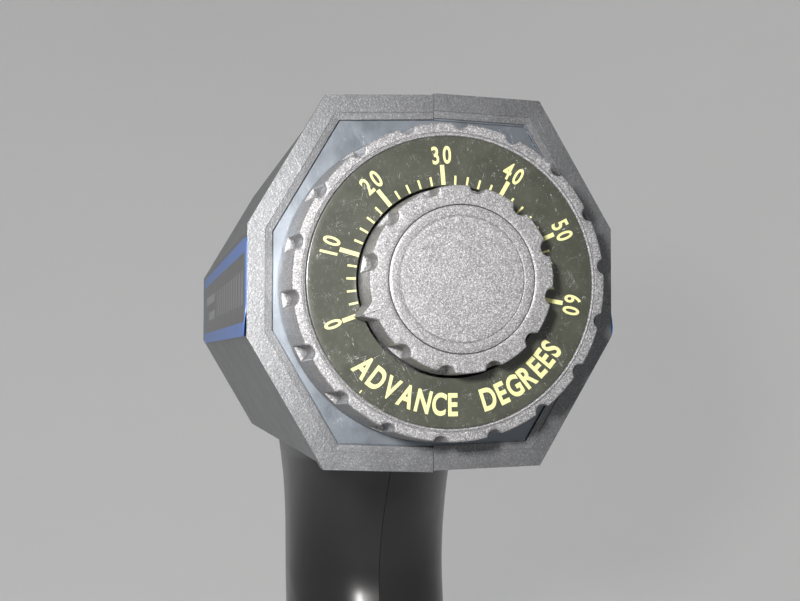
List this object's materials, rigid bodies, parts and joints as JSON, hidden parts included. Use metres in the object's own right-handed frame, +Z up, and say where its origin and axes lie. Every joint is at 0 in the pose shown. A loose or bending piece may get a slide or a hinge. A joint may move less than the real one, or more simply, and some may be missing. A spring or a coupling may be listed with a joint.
{
  "type": "timing light",
  "caption": "Pistol-grip engine timing light: eight-sided housing with a lens at the front, a degree dial with an inner knob at the back, a trigger and a lead socket in the butt.",
  "frame": {"origin": "centre of the mouth of the lead socket, in the flat butt of the handle", "axes": "+Y the way the lamp shines, +Z up from the butt to the body, +X to the right seen from behind; the dial axis is parallel to Y, 150 mm above the butt"},
  "size_m": [0.0792, 0.2377, 0.1907],
  "materials": {
    "housing_left": "textured charcoal ABS, polished on the grip",
    "housing_right": "textured charcoal ABS, polished on the grip",
    "screw_steel": "zinc-plated",
    "label": "printed vinyl",
    "back_plate": "smooth satin",
    "dial_plastic": "fine spark-eroded grain",
    "dial_plate": "glossy with printed scale",
    "felt": "pressed felt",
    "zinc_can": "zinc-plated can",
    "brass": "tinned brass",
    "shaft_steel": "turned",
    "trigger": "moulded",
    "black_plastic": "moulded",
    "red_plastic": "moulded",
    "rubber": "soft moulded",
    "lens_glass": "polished",
    "mirror": "vacuum-coated",
    "cream_plastic": "moulded",
    "board_laminate": "solder-resist green",
    "ferrite": "sintered",
    "winding_tape": "taped winding",
    "capacitor_sleeve": "shrink sleeve",
    "winding_wire": "varnished copper wire",
    "film_red": "dipped",
    "resistor_body": "lacquered",
    "black_sleeve": "PVC sleeve",
    "red_sleeve": "PVC sleeve",
    "blue_sleeve": "PVC sleeve",
    "yellow_sleeve": "PVC sleeve"
  },
  "bodies": {
    "housing": {"left_housing": "housing_left", "right_housing": "housing_right", "housing_screws": "screw_steel", "label_left": "label", "label_right": "label", "back_plate": "back_plate", "friction_washer": "felt", "retaining_washer": "screw_steel", "pot_body": "zinc_can", "pot_nut": "screw_steel", "pot_lugs": "brass", "trigger_spring": "shaft_steel", "trigger_switch": "black_plastic", "nose_bezel": "rubber", "lens": "lens_glass", "lens_gasket": "rubber", "reflector": "mirror", "flash_tube": "lens_glass", "tube_socket": "cream_plastic", "circuit_board": "board_laminate", "transformer_core": "ferrite", "transformer_coil": "winding_tape", "storage_capacitor": "capacitor_sleeve", "trigger_coil": "winding_wire", "film_capacitors": "film_red", "resistors": "resistor_body", "power_transistor": "black_plastic", "board_connectors": "cream_plastic", "lead_socket": "black_plastic", "contact_block": "cream_plastic", "socket_contacts": "brass", "handle_loom": "black_sleeve", "lamp_loom": "red_sleeve", "dial_loom": "blue_sleeve", "switch_loom": "yellow_sleeve"},
    "dial": {"dial_ring": "dial_plastic", "dial_plate": "dial_plate"},
    "knob": {"advance_knob": "dial_plastic", "knob_cap": "dial_plastic", "knob_screw": "screw_steel", "pot_shaft": "shaft_steel"},
    "trigger": {"trigger": "trigger", "switch_plunger": "red_plastic"}
  },
  "joints": [
    {"name": "dial_turn", "type": "hinge", "parent": "housing", "child": "dial", "pos_m": [0, -0.078, 0.15], "axis": [0, 1, 0], "continuous": true},
    {"name": "knob_turn", "type": "hinge", "parent": "housing", "child": "knob", "pos_m": [0, -0.078, 0.15], "axis": [0, 1, 0], "range_deg": [0, 210]},
    {"name": "trigger_slide", "type": "slide", "parent": "housing", "child": "trigger", "axis": [0, -1, 0], "range_m": [0, 0.005], "stiffness_N_per_m": 300, "springref_m": -0.004, "deforming": ["trigger_spring"]}
  ]
}
